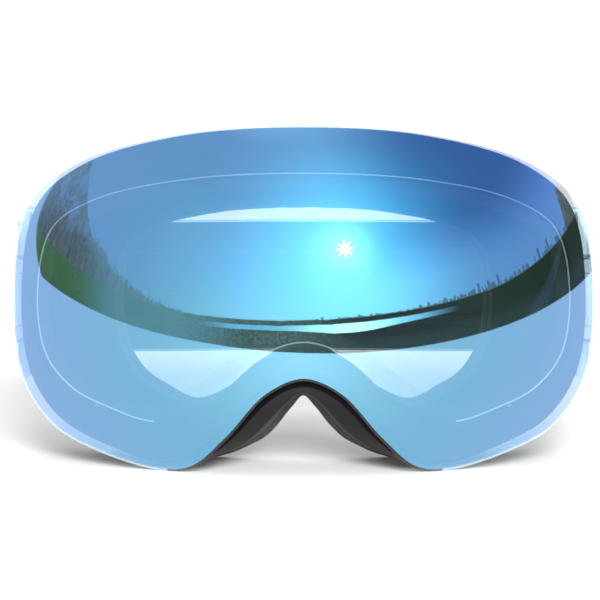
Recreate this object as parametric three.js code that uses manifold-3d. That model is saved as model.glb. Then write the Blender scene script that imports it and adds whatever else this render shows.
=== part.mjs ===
// Frameless ski goggles with a spherical mirrored lens that pulls off its magnets, a vented
// frame with a three-layer face foam, two hinged outriggers and an elastic strap.
// Millimetres. X to the wearer's left, Y from the lens back to the strap, Z up.
import * as THREE from "three";
import { mergeVertices } from "three/addons/utils/BufferGeometryUtils.js";
import Module from "manifold-3d";

const wasm = await Module();
wasm.setup();

// ---- driving dimensions ----------------------------------------------------------------

const LENS_RADIUS = 112; // the sphere that the outer lens is cut from
const FACE_RADIUS = 95; // the upright cylinder that the face foam is cut to
const FACE_DEPTH = 58; // from the lens's foremost point back to the foam at the brow
const FLOOR = -51.7; // the level that the lens lobes and the foam stand on
const GAP = 0.3; // between pieces that touch

// How far behind the lens's front face each layer starts and ends, along the sphere's radius.
const OUTER_LENS = [0, 1.8];
const CARRIER = [2.1, 5.3];
const GASKET = [2.1, 6.1];
const INNER_LENS = [6.4, 7.6];
const SEAT = [5.6, 9.6];

// How far in front of the face cylinder each layer starts and ends.
const FOAM_FACE = [0, 3];
const FOAM_MID = [3 + GAP, 9.7];
const FOAM_BASE = [10, 17];
const FOAM_CARRIER = [17 + GAP, 19.3];
const CHASSIS_REAR = 19.6;

// Outlines seen from the front: half width, top, bottom, and the nose notch's height, half
// width at its foot, and spread, which is 1 for a round arch and less for a narrow V.
const LENS = { w: 90, top: 53.6, bottom: -51.7, lobe: 43, nose: -22.6, foot: 33, spread: 1 };
const INNER = { w: 82.4, top: 39, bottom: -37, lobe: 47, nose: -11.6, foot: 38, spread: 1 };
const FRAME_FRONT = { w: 87.6, top: 50, bottom: -49.6, lobe: 43, nose: -23.9, foot: 32.4, spread: 1 };
const FRAME_REAR = { w: 77, top: 45, bottom: -52.6, lobe: 41, nose: -32.3, foot: 27, spread: 0.6 };
const OPENING_FRONT = { w: 63, top: 32, bottom: -37, lobe: 38, nose: -13, foot: 33, spread: 1 };
const OPENING_REAR = { w: 56.5, top: 26.5, bottom: -33, lobe: 34, nose: -15, foot: 29, spread: 0.95 };
const OUTLINE_STEPS = 48;
const WALL = 2.5; // the frame's moulded wall
const GASKET_WIDTH = 5;

// The bar magnets, and how far behind the lens's front face those in the lens's carrier and
// those in the frame start and end.
const MAGNET = { length: 13, width: 3.6, carrier: [3.5, 5.1], frame: [5.9, 7.5] };
const PEG_RADIUS = 1.8;
const PEG_LENGTH = 5.6;
const VENT = { width: 13, pitch: 18, rib: 3 };
const VENT_FOAM = 2.2;

const STRAP = { height: 46, thickness: 1.6, z: -2, droop: 5 };
const SIDE_X = 88; // the plane that each outrigger and the strap's straight side lie in
const PIN = { x: 87.4, y: 60, radius: 1.4, head: 2.3 };
const KNUCKLE = { radius: 2.7, height: 16 };
const EAR = { radius: 3, thickness: 4, clearance: 0.4 };
const BRACKET = { front: 53, rear: 67.5, outer: 87 };
const SCREW = { tip: 81.6, radius: 1, head: 1.9, headHeight: 1 };
const OUTRIGGER = { thickness: 2.6, halfHeight: 26, slotFront: 80.5, barFront: 85, rear: 88.4 };
const STRAP_END_REAR = 98;
const STRAP_FRONT = 98.6;
const STRAP_BEND = 146; // where the straight side turns into the loop behind the head
const STRAP_DEPTH = 56; // the loop's depth behind that
const SIDE_SHARE = 0.14; // the share of the strap, from end to end, that each straight side takes
const SLIDER = { y: 114, length: 14, bar: 2.5, thickness: 1.6 };
const GRIP = { height: 3, thickness: 0.6, pitch: 12 };

const TOTAL_DEPTH = STRAP_BEND + STRAP_DEPTH + GAP / 2 + STRAP.thickness;
const BEYOND = 200; // past every edge of the goggles, for shapes that only cut

// ---- solids from three.js geometry -----------------------------------------------------

// A closed three.js geometry as a solid that can be joined and cut.
function solid(geometry) {
  const bare = new THREE.BufferGeometry();
  bare.setAttribute("position", geometry.getAttribute("position"));
  bare.setIndex(geometry.index);
  const merged = mergeVertices(bare, 1e-4);
  return new wasm.Manifold(
    new wasm.Mesh({
      numProp: 3,
      vertProperties: merged.attributes.position.array,
      triVerts: new Uint32Array(merged.index.array),
    }),
  );
}

function geometryOf(made) {
  const { vertProperties, triVerts } = made.getMesh();
  const geometry = new THREE.BufferGeometry();
  geometry.setAttribute("position", new THREE.BufferAttribute(vertProperties, 3));
  geometry.setIndex(new THREE.BufferAttribute(triVerts, 1));
  geometry.computeVertexNormals();
  return geometry;
}

function box([x0, x1], [y0, y1], [z0, z1]) {
  const geometry = new THREE.BoxGeometry(x1 - x0, y1 - y0, z1 - z0);
  return geometry.translate((x0 + x1) / 2, (y0 + y1) / 2, (z0 + z1) / 2);
}

// An upright cylinder about (x, y), from z0 to z1.
function post(x, y, radius, [z0, z1], sides = 16) {
  const geometry = new THREE.CylinderGeometry(radius, radius, z1 - z0, sides);
  return geometry.rotateX(Math.PI / 2).translate(x, y, (z0 + z1) / 2);
}

// A cylinder along X, for the bracket's screws.
function rod([x0, x1], y, z, radius) {
  const geometry = new THREE.CylinderGeometry(radius, radius, x1 - x0, 12);
  return geometry.rotateZ(Math.PI / 2).translate((x0 + x1) / 2, y, z);
}

// ---- outlines and the surfaces they are cut from ---------------------------------------

// The goggle outline as a closed, smooth, counter-clockwise curve in (x, z), from the nose.
function outlineCurve({ w, top, bottom, lobe, nose, foot, spread }) {
  const drop = bottom - nose;
  const half = [
    [0.33 * foot * spread ** 2, nose + 0.16 * drop],
    [0.7 * foot * spread + 0.04 * foot * (1 - spread), nose + 0.64 * drop],
    [foot, nose + 0.955 * drop],
    [lobe, bottom],
    [0.63 * w + 0.17 * lobe, 0.9 * bottom],
    [0.86 * w, 0.77 * bottom],
    [0.967 * w, 0.5 * bottom],
    [w, 0.02 * top],
    [0.945 * w, 0.53 * top],
    [0.78 * w, 0.772 * top],
    [0.44 * w, 0.945 * top],
  ];
  const mirrored = half.map(([x, z]) => [-x, z]).reverse();
  const knots = [[0, nose], ...half, [0, top], ...mirrored];
  const points = knots.map(([x, z]) => new THREE.Vector3(x, z, 0));
  return new THREE.CatmullRomCurve3(points, true);
}

function outline(spec) {
  const points = outlineCurve(spec).getPoints(OUTLINE_STEPS).slice(0, -1);
  return points.map((p) => new THREE.Vector2(p.x, p.y));
}

// The same outline with every edge moved inwards, or outwards where by is negative.
const shrunk = (o, by) => ({
  ...o,
  w: o.w - by,
  top: o.top - by,
  bottom: o.bottom + by,
  nose: o.nose + by,
  foot: o.foot + by,
  lobe: o.lobe + 0.3 * by,
});

const domeDepth = (x, z, behind = 0) =>
  LENS_RADIUS - Math.sqrt((LENS_RADIUS - behind) ** 2 - x * x - z * z);
const faceDepth = (x, ahead = 0) =>
  FACE_DEPTH + FACE_RADIUS - Math.sqrt((FACE_RADIUS + ahead) ** 2 - x * x);

// A closed solid between two rails of as many points, front and rear.
function loft(front, rear) {
  const n = front.length;
  const positions = [...front, ...rear].flatMap((p) => [p.x, p.y, p.z]);
  const flat = (rail) => rail.map((p) => new THREE.Vector2(p.x, p.z));
  const cap = (rail) => THREE.ShapeUtils.triangulateShape(flat(rail), []);
  const indices = cap(front).flat();
  for (const [a, b, c] of cap(rear)) indices.push(n + a, n + c, n + b);
  for (let i = 0; i < n; i++) {
    const next = (i + 1) % n;
    indices.push(i, n + i, n + next, i, n + next, next);
  }
  const geometry = new THREE.BufferGeometry();
  geometry.setAttribute("position", new THREE.Float32BufferAttribute(positions, 3));
  return geometry.setIndex(indices);
}

// Everything inside an outline, straight back.
function prism(spec) {
  const at = (y) => outline(spec).map((p) => new THREE.Vector3(p.x, y, p.y));
  return solid(loft(at(-30), at(130)));
}

// Everything inside a wall that runs from one outline on the lens's sphere to another on the
// face cylinder, and on past both.
function sleeve(frontSpec, rearSpec, by = 0) {
  const rail = (spec, depth) =>
    outline(shrunk(spec, by)).map((p) => new THREE.Vector3(p.x, depth(p.x, p.y), p.y));
  const front = rail(frontSpec, (x, z) => domeDepth(x, z));
  const rear = rail(rearSpec, (x) => faceDepth(x));
  const past = (a, b, share) => a.map((p, i) => p.clone().lerp(b[i], -share));
  return solid(loft(past(front, rear, 1), past(rear, front, 0.5)));
}

// The ball of the lens's sphere, this far behind its front face.
function dome(behind) {
  const geometry = new THREE.SphereGeometry(LENS_RADIUS - behind, 48, 32);
  return solid(geometry.rotateX(Math.PI / 2).translate(0, LENS_RADIUS, 0));
}

// The upright cylinder of the face, this far ahead of it.
function faceCylinder(ahead) {
  const centre = FACE_DEPTH + FACE_RADIUS;
  return solid(post(0, centre, FACE_RADIUS + ahead, [-100, 100], 48));
}

const domeLayer = ([near, far]) => dome(near).subtract(dome(far));
const faceLayer = ([near, far]) => faceCylinder(far).subtract(faceCylinder(near));
const aboveFloor = solid(box([-BEYOND, BEYOND], [-BEYOND, 2 * BEYOND], [FLOOR, BEYOND]));
const frameOutside = sleeve(FRAME_FRONT, FRAME_REAR);
const faceOpening = sleeve(OPENING_FRONT, OPENING_REAR);

// ---- materials -------------------------------------------------------------------------

const material = (color, roughness, metalness = 0, opacity = 1) =>
  new THREE.MeshStandardMaterial({ color, roughness, metalness, opacity, transparent: opacity < 1 });
const materials = {
  mirror: material("#5fa8dc", 0.08, 0.6, 0.85),
  clear: material("#d8e6ea", 0.1, 0, 0.35),
  carrier: material("#23262b", 0.5),
  chassis: material("#1d1e21", 0.55),
  foam: material("#38383b", 0.95),
  fleece: material("#55565a", 1),
  ice: material("#cfe3ee", 0.35),
  strap: material("#d5e6ef", 0.85),
  silicone: material("#c3cdd4", 0.4),
  magnet: material("#b9bcc0", 0.3, 1),
  steel: material("#a8aaae", 0.35, 1),
};

const goggles = new THREE.Group();

function add(group, name, geometry, look) {
  const mesh = new THREE.Mesh(geometry, materials[look]);
  mesh.name = name;
  group.add(mesh);
}

// ---- the lens unit ---------------------------------------------------------------------

const carrierOutline = shrunk(LENS, 3);
const carrierOpening = shrunk(INNER, -0.8);

// A place along the rim between the two outlines above, a little nearer the outer one. The
// knots are counted from the nose, with the brow's middle at 12, and minus goes up the other
// side.
function rimPlace(knot) {
  const share = ((knot + 24) % 24) / 24;
  const edges = [carrierOutline, carrierOpening].map(outlineCurve);
  const [outer, inner] = edges.map((curve) => curve.getPoint(share));
  const [first, second] = edges.map((curve) => curve.getTangent(share));
  const middle = outer.lerp(inner, 0.35);
  const along = first.add(second).normalize();
  return { x: middle.x, z: middle.y, along: new THREE.Vector3(along.x, 0, along.y) };
}

const magnetPlaces = [11.5, 10.4, 5.1, 3.6].flatMap((knot) => [rimPlace(knot), rimPlace(-knot)]);
const pegPlaces = [10.95, 4.38].flatMap((knot) => [rimPlace(knot), rimPlace(-knot)]);

// A bar on the lens's sphere, from one distance behind its front to another, with its length
// along the rim.
function bar({ x, z, along }, [near, far], grow = 0) {
  const geometry = new THREE.BoxGeometry(MAGNET.length + 2 * grow, MAGNET.width + 2 * grow, far - near);
  const centre = new THREE.Vector3(0, LENS_RADIUS, 0);
  const inward = centre.clone().sub(new THREE.Vector3(x, domeDepth(x, z), z)).normalize();
  const across = new THREE.Vector3().crossVectors(inward, along).normalize();
  const length = new THREE.Vector3().crossVectors(across, inward);
  centre.addScaledVector(inward, (near + far) / 2 - LENS_RADIUS);
  const place = new THREE.Matrix4().makeBasis(length, across, inward);
  return geometry.applyMatrix4(place.setPosition(centre));
}

// A peg straight back from the carrier.
function peg({ x, z }, radius, length) {
  const start = domeDepth(x, z, CARRIER[0] + 1.2);
  const geometry = new THREE.CylinderGeometry(radius, radius, length, 12);
  return solid(geometry.translate(x, start + length / 2, z));
}

function lensUnit() {
  const outer = domeLayer(OUTER_LENS).intersect(prism(LENS)).intersect(aboveFloor);
  add(goggles, "outer_lens", geometryOf(outer), "mirror");
  const gasketInside = prism(shrunk(INNER, GASKET_WIDTH));
  const gasket = domeLayer(GASKET).intersect(prism(INNER)).subtract(gasketInside);
  add(goggles, "lens_gasket", geometryOf(gasket), "foam");
  add(goggles, "inner_lens", geometryOf(domeLayer(INNER_LENS).intersect(prism(INNER))), "clear");
  let carrier = domeLayer(CARRIER).intersect(prism(carrierOutline)).subtract(prism(carrierOpening));
  for (const place of pegPlaces) carrier = carrier.add(peg(place, PEG_RADIUS, PEG_LENGTH));
  magnetPlaces.forEach((place, i) => {
    const pocket = [MAGNET.carrier[0] - GAP, CARRIER[1] + 1.7];
    carrier = carrier.subtract(solid(bar(place, pocket, GAP)));
    add(goggles, `lens_magnet_${i + 1}`, bar(place, MAGNET.carrier), "magnet");
  });
  add(goggles, "lens_carrier", geometryOf(carrier), "carrier");
}

// ---- the frame -------------------------------------------------------------------------

// Windows through the frame's wall between the lens seat and the foam, in a row along X.
function ventWindows() {
  const windows = [];
  const cut = (x, z) => {
    const front = domeDepth(x, z, SEAT[1]);
    const rear = faceDepth(x, CHASSIS_REAR);
    const geometry = new THREE.BoxGeometry(VENT.width, rear - front - 2 * VENT.rib, 24);
    const turn = Math.atan2(faceDepth(x + 1, CHASSIS_REAR) - rear, 1);
    windows.push(solid(geometry.rotateZ(turn).translate(x, (front + rear) / 2, z)));
  };
  for (let i = -3; i <= 3; i++) cut(i * VENT.pitch, 48);
  for (const side of [-1, 1]) for (const x of [43, 61]) cut(side * x, -50);
  return windows;
}

function ventFoam(name, [x0, x1], [z0, z1]) {
  const lining = sleeve(FRAME_FRONT, FRAME_REAR, WALL + GAP);
  const strip = lining.subtract(sleeve(FRAME_FRONT, FRAME_REAR, WALL + GAP + VENT_FOAM));
  const region = solid(box([x0, x1], [0, 120], [z0, z1]));
  const layer = dome(SEAT[1] + GAP).subtract(faceCylinder(CHASSIS_REAR));
  const made = strip.intersect(region).intersect(layer);
  add(goggles, name, geometryOf(made), "foam");
}

function foamRing(name, layer, inset, look) {
  const outside = sleeve(FRAME_FRONT, FRAME_REAR, inset);
  const made = faceLayer(layer).intersect(outside).subtract(faceOpening).intersect(aboveFloor);
  add(goggles, name, geometryOf(made), look);
}

function frame() {
  const inside = sleeve(FRAME_FRONT, FRAME_REAR, WALL);
  const body = dome(SEAT[0]).subtract(faceCylinder(CHASSIS_REAR));
  const wall = frameOutside.subtract(inside).intersect(body);
  const seat = domeLayer(SEAT).intersect(frameOutside).subtract(prism(carrierOpening));
  let chassis = wall.add(seat).intersect(aboveFloor);
  for (const opening of ventWindows()) chassis = chassis.subtract(opening);
  for (const place of pegPlaces) chassis = chassis.subtract(peg(place, PEG_RADIUS + 0.5, 12));
  for (const side of [1, -1])
    for (const [y, z] of screwPlaces) {
      const hole = [side * BRACKET.outer - 8, side * BRACKET.outer + 8];
      chassis = chassis.subtract(solid(rod(hole, y, z, SCREW.radius + 0.2)));
    }
  magnetPlaces.forEach((place, i) => {
    const pocket = [SEAT[0] - 1.6, MAGNET.frame[1] + GAP];
    chassis = chassis.subtract(solid(bar(place, pocket, GAP)));
    add(goggles, `frame_magnet_${i + 1}`, bar(place, MAGNET.frame), "magnet");
  });
  add(goggles, "frame_chassis", geometryOf(chassis), "chassis");
  ventFoam("vent_foam_top", [-63, 63], [10, 60]);
  ventFoam("vent_foam_lower_left", [36, 69], [-60, -20]);
  ventFoam("vent_foam_lower_right", [-69, -36], [-60, -20]);
  foamRing("foam_carrier", FOAM_CARRIER, 0.4, "carrier");
  foamRing("foam_base", FOAM_BASE, 0.2, "foam");
  foamRing("foam_mid", FOAM_MID, 0.2, "foam");
  foamRing("foam_face", FOAM_FACE, 0, "fleece");
}

// ---- each side: bracket, pin, outrigger, strap end and slider --------------------------

const earBottom = STRAP.z - KNUCKLE.height / 2 - EAR.clearance;
const earTop = STRAP.z + KNUCKLE.height / 2 + EAR.clearance;
const bracketHeight = [earBottom - EAR.thickness, earTop + EAR.thickness];
const screwPlaces = [-1, 1].map((side) => [
  BRACKET.rear - 2.2,
  STRAP.z + side * (KNUCKLE.height / 2 + EAR.clearance + EAR.thickness / 2),
]);

// A plate on the frame's side with an ear above and below the outrigger's knuckle.
function bracket() {
  const across = [BRACKET.outer - 7, BRACKET.outer];
  let made = solid(box(across, [BRACKET.front, BRACKET.rear], bracketHeight));
  const ear = box([BRACKET.outer - 1, PIN.x], [PIN.y - EAR.radius, PIN.y + EAR.radius], bracketHeight);
  made = made.add(solid(ear)).add(solid(post(PIN.x, PIN.y, EAR.radius, bracketHeight)));
  made = made.subtract(sleeve(FRAME_FRONT, FRAME_REAR, -GAP));
  const room = [PIN.y - EAR.radius - 0.5, BRACKET.rear + 1];
  made = made.subtract(solid(box([0, BEYOND], room, [earBottom, earTop])));
  made = made.subtract(solid(post(PIN.x, PIN.y, PIN.radius + 0.2, [-BEYOND, BEYOND])));
  for (const [y, z] of screwPlaces) {
    const counterbore = [BRACKET.outer - SCREW.headHeight - 0.3, BEYOND];
    made = made.subtract(solid(rod([0, BEYOND], y, z, SCREW.radius + 0.2)));
    made = made.subtract(solid(rod(counterbore, y, z, SCREW.head + 0.2)));
  }
  return geometryOf(made);
}

function screw(y, z) {
  const head = rod([BRACKET.outer - SCREW.headHeight, BRACKET.outer - 0.1], y, z, SCREW.head);
  const slot = box([BRACKET.outer - 0.5, 95], [y - 0.3, y + 0.3], [z - 3, z + 3]);
  const shank = rod([SCREW.tip, BRACKET.outer - SCREW.headHeight + 0.1], y, z, SCREW.radius);
  return geometryOf(solid(head).add(solid(shank)).subtract(solid(slot)));
}

function pin() {
  const [low, high] = bracketHeight;
  const shank = solid(post(PIN.x, PIN.y, PIN.radius, [low - 0.6, high + 0.6]));
  const heads = [
    [low - 1.4, low - GAP],
    [high + GAP, high + 1.4],
  ].map((span) => solid(post(PIN.x, PIN.y, PIN.head, span)));
  return geometryOf(shank.add(heads[0]).add(heads[1]));
}

// The outrigger's side view, a plate that widens from the knuckle to the strap's slot.
function outrigger() {
  const { thickness, halfHeight, slotFront, barFront, rear } = OUTRIGGER;
  const neck = KNUCKLE.height / 2;
  const half = [
    [PIN.y + 9, -neck],
    [PIN.y + 14, -halfHeight + 3],
    [PIN.y + 16.5, -halfHeight],
    [rear - 1, -halfHeight],
    [rear, -halfHeight + 1],
  ];
  const upper = half.map(([y, z]) => [y, -z]).reverse();
  const side = [[PIN.y, -neck], ...half, ...upper, [PIN.y, neck]];
  const plate = new THREE.Shape(side.map(([y, z]) => new THREE.Vector2(y, z)));
  const slotHalf = STRAP.height / 2 + 0.6;
  const slot = [
    [slotFront, -slotHalf],
    [slotFront, slotHalf],
    [barFront, slotHalf],
    [barFront, -slotHalf],
  ];
  plate.holes.push(new THREE.Path(slot.map(([y, z]) => new THREE.Vector2(y, z))));
  const geometry = new THREE.ExtrudeGeometry(plate, { depth: thickness, bevelEnabled: false });
  const place = new THREE.Matrix4().makeBasis(
    new THREE.Vector3(0, 1, 0),
    new THREE.Vector3(0, 0, 1),
    new THREE.Vector3(1, 0, 0),
  );
  place.setPosition(SIDE_X - thickness / 2, 0, STRAP.z);
  const span = [STRAP.z - neck, STRAP.z + neck];
  const knuckle = solid(post(PIN.x, PIN.y, KNUCKLE.radius, span));
  const bore = solid(post(PIN.x, PIN.y, PIN.radius + 0.1, [-BEYOND, BEYOND]));
  return geometryOf(solid(geometry.applyMatrix4(place)).add(knuckle).subtract(bore));
}

// The strap's sewn end, a fold round the outrigger's bar whose two legs close behind it.
function strapEnd() {
  const { thickness: plate, barFront, rear } = OUTRIGGER;
  const t = STRAP.thickness;
  const clear = plate / 2 + 0.35;
  const fold = barFront - 0.35;
  const legs = rear + 0.8;
  const mate = GAP / 2;
  const right = [
    [clear + t - 1, fold - t],
    [clear + t, fold - t + 1],
    [clear + t, legs],
    [mate + t, STRAP_END_REAR],
    [mate, STRAP_END_REAR],
    [clear, legs],
    [clear, fold],
  ];
  const left = right.map(([x, y]) => [-x, y]).reverse();
  const shape = new THREE.Shape([...right, ...left].map(([x, y]) => new THREE.Vector2(SIDE_X + x, y)));
  const geometry = new THREE.ExtrudeGeometry(shape, { depth: STRAP.height, bevelEnabled: false });
  return geometry.translate(0, 0, STRAP.z - STRAP.height / 2);
}

// The three-bar slider: two bars outside the strap and one inside, joined over its edges.
function slider() {
  const { y, length, bar: width, thickness } = SLIDER;
  const outer = SIDE_X + GAP / 2 + STRAP.thickness + 0.4;
  const inner = SIDE_X - GAP / 2 - STRAP.thickness - 0.4;
  const rim = 2.4;
  const low = STRAP.z - STRAP.height / 2 - rim - 0.6;
  const high = STRAP.z + STRAP.height / 2 + rim + 0.6;
  const front = y - length / 2;
  const rear = y + length / 2;
  const bridge = (span) => solid(box([inner - thickness, outer + thickness], [front, rear], span));
  const outerBar = (span) => solid(box([outer, outer + thickness], span, [low, high]));
  const innerBar = box([inner - thickness, inner], [y - width / 2, y + width / 2], [low, high]);
  return geometryOf(
    bridge([low, low + rim])
      .add(bridge([high - rim, high]))
      .add(outerBar([front, front + width]))
      .add(outerBar([rear - width, rear]))
      .add(solid(innerBar)),
  );
}

// ---- the strap -------------------------------------------------------------------------

// The strap's plan as a point and its outward direction: a share of 0 is the left side's front
// end and 1 is the right side's. The two straight sides take SIDE_SHARE each, and the rest is
// the half oval behind the head.
function strapPlan(share) {
  if (share < SIDE_SHARE || share > 1 - SIDE_SHARE) {
    const side = share < 0.5 ? 1 : -1;
    const along = (side > 0 ? share : 1 - share) / SIDE_SHARE;
    const y = STRAP_FRONT + along * (STRAP_BEND - STRAP_FRONT);
    return { at: new THREE.Vector2(side * SIDE_X, y), out: new THREE.Vector2(side, 0) };
  }
  const angle = ((share - SIDE_SHARE) / (1 - 2 * SIDE_SHARE)) * Math.PI;
  const at = new THREE.Vector2(SIDE_X * Math.cos(angle), STRAP_BEND + STRAP_DEPTH * Math.sin(angle));
  const out = new THREE.Vector2(STRAP_DEPTH * Math.cos(angle), SIDE_X * Math.sin(angle)).normalize();
  return { at, out };
}

const bandCorners = [
  [-1, -1],
  [1, -1],
  [1, 1],
  [-1, 1],
];

// A flat band along the strap's plan, held this far outside its middle line.
function band(from, to, steps, offset, thickness, height, lift = 0) {
  const positions = [];
  const indices = [];
  for (let i = 0; i <= steps; i++) {
    const { at, out } = strapPlan(from + ((to - from) * i) / steps);
    const back = THREE.MathUtils.smoothstep(at.y, STRAP_BEND, STRAP_BEND + STRAP_DEPTH);
    const z = STRAP.z + lift - STRAP.droop * back;
    for (const [across, up] of bandCorners) {
      const p = at.clone().addScaledVector(out, offset + (across * thickness) / 2);
      positions.push(p.x, p.y, z + (up * height) / 2);
    }
    for (let k = 0; k < 4 && i < steps; k++) {
      const a = 4 * i + k;
      const b = 4 * i + ((k + 1) % 4);
      indices.push(a, b + 4, b, a, a + 4, b + 4);
    }
  }
  const end = 4 * steps;
  indices.push(0, 1, 2, 0, 2, 3, end, end + 2, end + 1, end, end + 3, end + 2);
  const geometry = new THREE.BufferGeometry();
  geometry.setAttribute("position", new THREE.Float32BufferAttribute(positions, 3));
  return geometry.setIndex(indices);
}

// The strap behind the sliders: the loop and the grip lines printed inside it.
function strapLoop() {
  const outside = GAP / 2 + STRAP.thickness / 2;
  const loop = band(SIDE_SHARE, 1 - SIDE_SHARE, 36, outside, STRAP.thickness, STRAP.height);
  add(goggles, "strap_loop", loop, "strap");
  for (const [i, row] of [-1, 0, 1].entries()) {
    const offset = -GAP / 2 - GRIP.thickness / 2;
    const line = band(0.24, 0.76, 24, offset, GRIP.thickness, GRIP.height, row * GRIP.pitch);
    add(goggles, `strap_grip_${i + 1}`, line, "silicone");
  }
}

// One of the two layers of the straight side, outside or inside the plane between them.
function strapSide(layer) {
  const offset = layer * (GAP / 2 + STRAP.thickness / 2);
  return band(0, SIDE_SHARE * 0.99, 1, offset, STRAP.thickness, STRAP.height);
}

// ---- assembly --------------------------------------------------------------------------

lensUnit();
frame();
strapLoop();
for (const side of ["left", "right"]) {
  const half = new THREE.Group();
  half.scale.x = side === "left" ? 1 : -1;
  add(half, `hinge_bracket_${side}`, bracket(), "ice");
  screwPlaces.forEach(([y, z], i) => {
    add(half, `bracket_screw_${side}_${i + 1}`, screw(y, z), "steel");
  });
  add(half, `hinge_pin_${side}`, pin(), "steel");
  add(half, `outrigger_${side}`, outrigger(), "ice");
  add(half, `strap_end_${side}`, strapEnd(), "strap");
  add(half, `strap_side_${side}`, strapSide(1), "strap");
  add(half, `strap_return_${side}`, strapSide(-1), "strap");
  add(half, `strap_slider_${side}`, slider(), "ice");
  goggles.add(half);
}

// The part's origin is under its middle, on the surface that it stands on.
goggles.position.set(0, -TOTAL_DEPTH / 2, -FLOOR);

export default goggles;
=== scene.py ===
"""The looks of a pair of frameless ski goggles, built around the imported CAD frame.

Sizes are in millimetres, as in the CAD, and become metres in the row's frame in to_frame().
"""

import math

import bmesh
import bpy
import numpy as np
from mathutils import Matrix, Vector, noise


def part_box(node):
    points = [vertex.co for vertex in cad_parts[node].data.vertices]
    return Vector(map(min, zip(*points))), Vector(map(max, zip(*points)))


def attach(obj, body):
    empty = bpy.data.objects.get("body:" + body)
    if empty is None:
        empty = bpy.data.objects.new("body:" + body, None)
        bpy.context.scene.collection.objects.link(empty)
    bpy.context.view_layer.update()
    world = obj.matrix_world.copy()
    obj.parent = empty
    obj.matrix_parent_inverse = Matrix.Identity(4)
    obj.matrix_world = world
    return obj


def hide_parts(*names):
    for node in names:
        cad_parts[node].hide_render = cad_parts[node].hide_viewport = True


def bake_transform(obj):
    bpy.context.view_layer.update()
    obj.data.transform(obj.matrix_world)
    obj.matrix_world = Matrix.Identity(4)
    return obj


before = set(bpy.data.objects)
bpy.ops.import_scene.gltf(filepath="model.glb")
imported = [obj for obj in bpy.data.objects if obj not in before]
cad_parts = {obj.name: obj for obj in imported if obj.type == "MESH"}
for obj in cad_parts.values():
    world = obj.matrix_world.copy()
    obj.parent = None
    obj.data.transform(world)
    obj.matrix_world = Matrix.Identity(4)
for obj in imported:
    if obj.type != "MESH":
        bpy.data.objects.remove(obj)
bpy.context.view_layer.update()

# ---- dimensions, in millimetres --------------------------------------------------------

MM = 0.001
LENS_RADIUS = 112
FACE_RADIUS = 95
FACE_DEPTH = 58
LENS_TOP = 53.6
FLOOR = -51.7

OUTER_LENS = (0, 1.8)
CARRIER = (2.1, 5.3)
GASKET = (2.1, 6.1)
INNER_LENS = (6.4, 7.6)
SEAT = (5.6, 9.6)
FOAM_FACE = (0, 3)
FOAM_MID = (3.3, 9.7)
FOAM_BASE = (10, 17)
FOAM_CARRIER = (17.3, 19.3)
CHASSIS_REAR = 19.6
WALL = 2.5

LENS = dict(w=90, top=LENS_TOP, bottom=FLOOR, lobe=43, nose=-22.6, foot=33, spread=1)
INNER = dict(w=82.4, top=39, bottom=-37, lobe=47, nose=-11.6, foot=38, spread=1)
FRAME_FRONT = dict(w=87.6, top=50, bottom=-49.6, lobe=43, nose=-23.9, foot=32.4, spread=1)
FRAME_REAR = dict(w=77, top=45, bottom=-52.6, lobe=41, nose=-32.3, foot=27, spread=0.6)
OPENING_FRONT = dict(w=63, top=32, bottom=-37, lobe=38, nose=-13, foot=33, spread=1)
OPENING_REAR = dict(w=56.5, top=26.5, bottom=-33, lobe=34, nose=-15, foot=29, spread=0.95)

STATIONS = 288  # points round a ring
KNOTS = 24  # points that an outline is drawn through
PEG_KNOTS = (10.95, 4.38, KNOTS - 4.38, KNOTS - 10.95)  # where the locating pegs stand
PEG_START = 3.3  # how far behind the lens's front a peg starts
STITCH_ROWS = (99.5, 102.5)  # the two rows of thread that shut the strap's fold
VENT = dict(width=13, pitch=18, front=0.32, rear=0.85)
STRAP = dict(height=46, thickness=1.6, z=-2, droop=5)
SIDE_X = 88
LAYER = 0.95  # from the plane between the strap's two layers to the middle of each
BAR_FRONT = 85  # the front of the outrigger's bar, which the strap folds round
STRAP_BEND = 146
STRAP_DEPTH = 56

# The row's origin is on the floor, under the middle; these are the lens's foremost point and
# the height of its middle.
ORIGIN = np.array([0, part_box("outer_lens")[0].y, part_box("outer_lens")[1].z - LENS_TOP * MM])


def to_frame(points):
    return np.asarray(points, float) * MM + ORIGIN


# ---- outlines and surfaces -------------------------------------------------------------


def shrunk(spec, by):
    moved = dict(spec)
    moved.update(w=spec["w"] - by, top=spec["top"] - by, bottom=spec["bottom"] + by)
    moved.update(nose=spec["nose"] + by, foot=spec["foot"] + by, lobe=spec["lobe"] + 0.3 * by)
    return moved


def knots(spec):
    w, top, bottom, lobe = (spec[k] for k in ("w", "top", "bottom", "lobe"))
    nose, foot, spread = (spec[k] for k in ("nose", "foot", "spread"))
    drop = bottom - nose
    half = [
        (0.33 * foot * spread**2, nose + 0.16 * drop),
        (0.7 * foot * spread + 0.04 * foot * (1 - spread), nose + 0.64 * drop),
        (foot, nose + 0.955 * drop),
        (lobe, bottom),
        (0.63 * w + 0.17 * lobe, 0.9 * bottom),
        (0.86 * w, 0.77 * bottom),
        (0.967 * w, 0.5 * bottom),
        (w, 0.02 * top),
        (0.945 * w, 0.53 * top),
        (0.78 * w, 0.772 * top),
        (0.44 * w, 0.945 * top),
    ]
    mirrored = [(-x, z) for x, z in reversed(half)]
    return np.array([(0, nose), *half, (0, top), *mirrored], float)


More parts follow.
